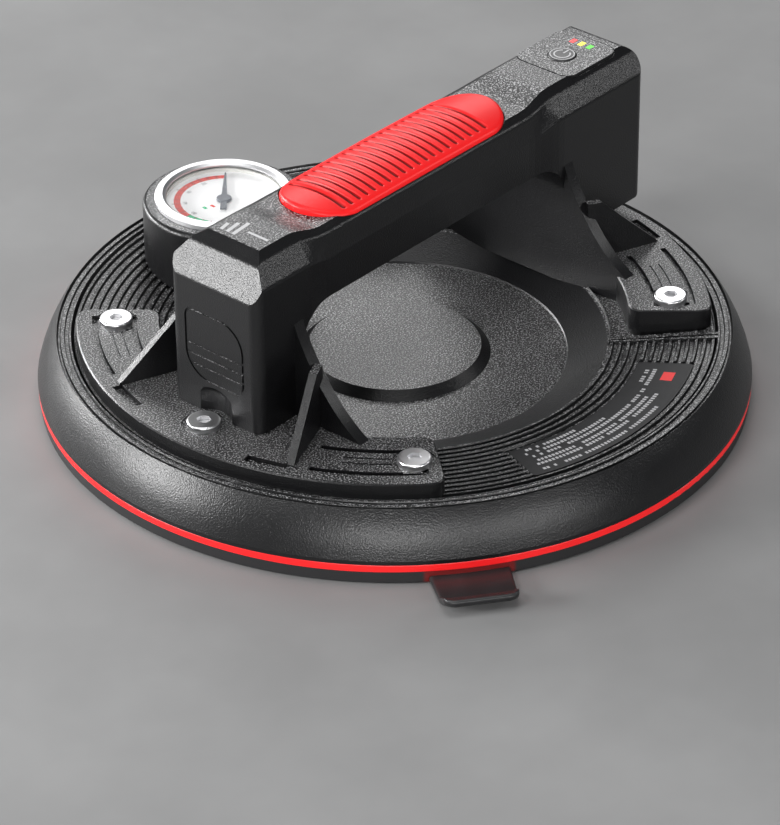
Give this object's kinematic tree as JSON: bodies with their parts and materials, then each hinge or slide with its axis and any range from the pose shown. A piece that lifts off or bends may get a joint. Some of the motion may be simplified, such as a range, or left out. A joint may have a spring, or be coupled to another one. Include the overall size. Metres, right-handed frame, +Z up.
{
  "type": "vacuum suction cup",
  "caption": "Round electric vacuum suction cup with a rubber-edged disc, bridge handle, built-in pump and vacuum gauge.",
  "frame": {"origin": "centre of the disc on the surface that it is pressed on", "axes": "+Z up from that surface, +X along the handle towards the pump head, +Y towards the gauge"},
  "size_m": [0.2266, 0.2266, 0.0856],
  "materials": {
    "pad_rubber": "matte moulded",
    "red_ring": "gloss",
    "disc_shell": "coarse spark-eroded",
    "backing_steel": "zinc plated",
    "brass": "knurled",
    "screw_steel": "polished",
    "filter_mesh": "sintered",
    "seal_rubber": "smooth",
    "label_film": "smooth",
    "handle_shell": "coarse spark-eroded",
    "small_screws": "blackened",
    "red_grip": "gloss",
    "cover_shell": "satin",
    "cell_sleeve": "shrink sleeve",
    "contact_metal": "nickel plated",
    "board_green": "solder mask",
    "switch_body": "matte",
    "button_cap": "satin with a grey symbol",
    "panel_shell": "coarse spark-eroded",
    "light_red": "translucent",
    "light_yellow": "translucent",
    "light_green": "translucent",
    "motor_can": "drawn can",
    "shaft_steel": "ground",
    "pump_shell": "satin",
    "valve_shell": "natural nylon",
    "hose_rubber": "silicone",
    "flap_rubber": "matte",
    "gauge_metal": "satin",
    "dial_white": "printed",
    "needle_dark": "satin",
    "spacer_white": "matte",
    "lens_clear": "clear",
    "bezel_silver": "bright satin"
  },
  "bodies": {
    "body": {"rubber_pad": "pad_rubber", "red_ring": "red_ring", "base_plate": "disc_shell", "backing_ring": "backing_steel", "threaded_inserts": "brass", "flange_screws": "screw_steel", "inlet_filter": "filter_mesh", "vacuum_port": "brass", "port_seal": "seal_rubber", "gauge_seal": "seal_rubber", "label_plate": "label_film", "handle_body": "handle_shell", "end_cap": "handle_shell", "end_cap_screws": "small_screws", "grip_insert": "red_grip", "underside_cover": "cover_shell", "cover_screws": "small_screws", "battery_cell": "cell_sleeve", "battery_contacts": "contact_metal", "circuit_board": "board_green", "tact_switch": "switch_body", "control_panel": "panel_shell", "led_red": "light_red", "led_yellow": "light_yellow", "led_green": "light_green", "pump_motor": "motor_can", "pump_head": "pump_shell", "pump_diaphragm": "seal_rubber", "check_valve": "valve_shell", "vacuum_hose": "hose_rubber", "charge_port": "contact_metal", "gauge_case": "gauge_metal", "gauge_stem": "brass", "gauge_movement": "brass", "bourdon_tube": "brass", "gauge_dial": "dial_white", "gauge_spacer": "spacer_white", "gauge_lens": "lens_clear", "gauge_bezel": "bezel_silver"},
    "power_button": {"power_button": "button_cap"},
    "gauge_needle": {"gauge_needle": "needle_dark"},
    "gauge_sector": {"gauge_sector": "brass"},
    "pump_rotor": {"pump_rotor": "shaft_steel"},
    "release_tab": {"release_tab": "pad_rubber"},
    "port_cover": {"port_cover": "flap_rubber"}
  },
  "joints": [
    {"name": "button_press", "type": "slide", "parent": "body", "child": "power_button", "axis": [0, 0, -1], "range_m": [0, 0.0008], "stiffness_N_per_m": 2500},
    {"name": "needle_turn", "type": "hinge", "parent": "body", "child": "gauge_needle", "pos_m": [0, 0.073, 0.036], "axis": [0, 0, 1], "range_deg": [0, 150], "stiffness_Nm_per_rad": 0.0004},
    {"name": "sector_turn", "type": "hinge", "parent": "body", "child": "gauge_sector", "pos_m": [0.0081, 0.073, 0.028], "axis": [0, 0, 1], "range_deg": [-50, 0]},
    {"name": "pump_spin", "type": "hinge", "parent": "body", "child": "pump_rotor", "pos_m": [0.084, 0, 0.045], "axis": [0, 0, 1], "continuous": true},
    {"name": "tab_lift", "type": "hinge", "parent": "body", "child": "release_tab", "pos_m": [-0.06897, -0.08989, 0.0028], "axis": [-0.7934, 0.6088, 0], "range_deg": [0, 60], "stiffness_Nm_per_rad": 0.05},
    {"name": "flap_open", "type": "hinge", "parent": "body", "child": "port_cover", "pos_m": [0.103, 0, 0.0644], "axis": [0, -1, 0], "range_deg": [0, 110], "stiffness_Nm_per_rad": 0.004}
  ],
  "couplings": [
    {"joint": "sector_turn", "follows": "needle_turn", "ratio": -0.33333}
  ]
}
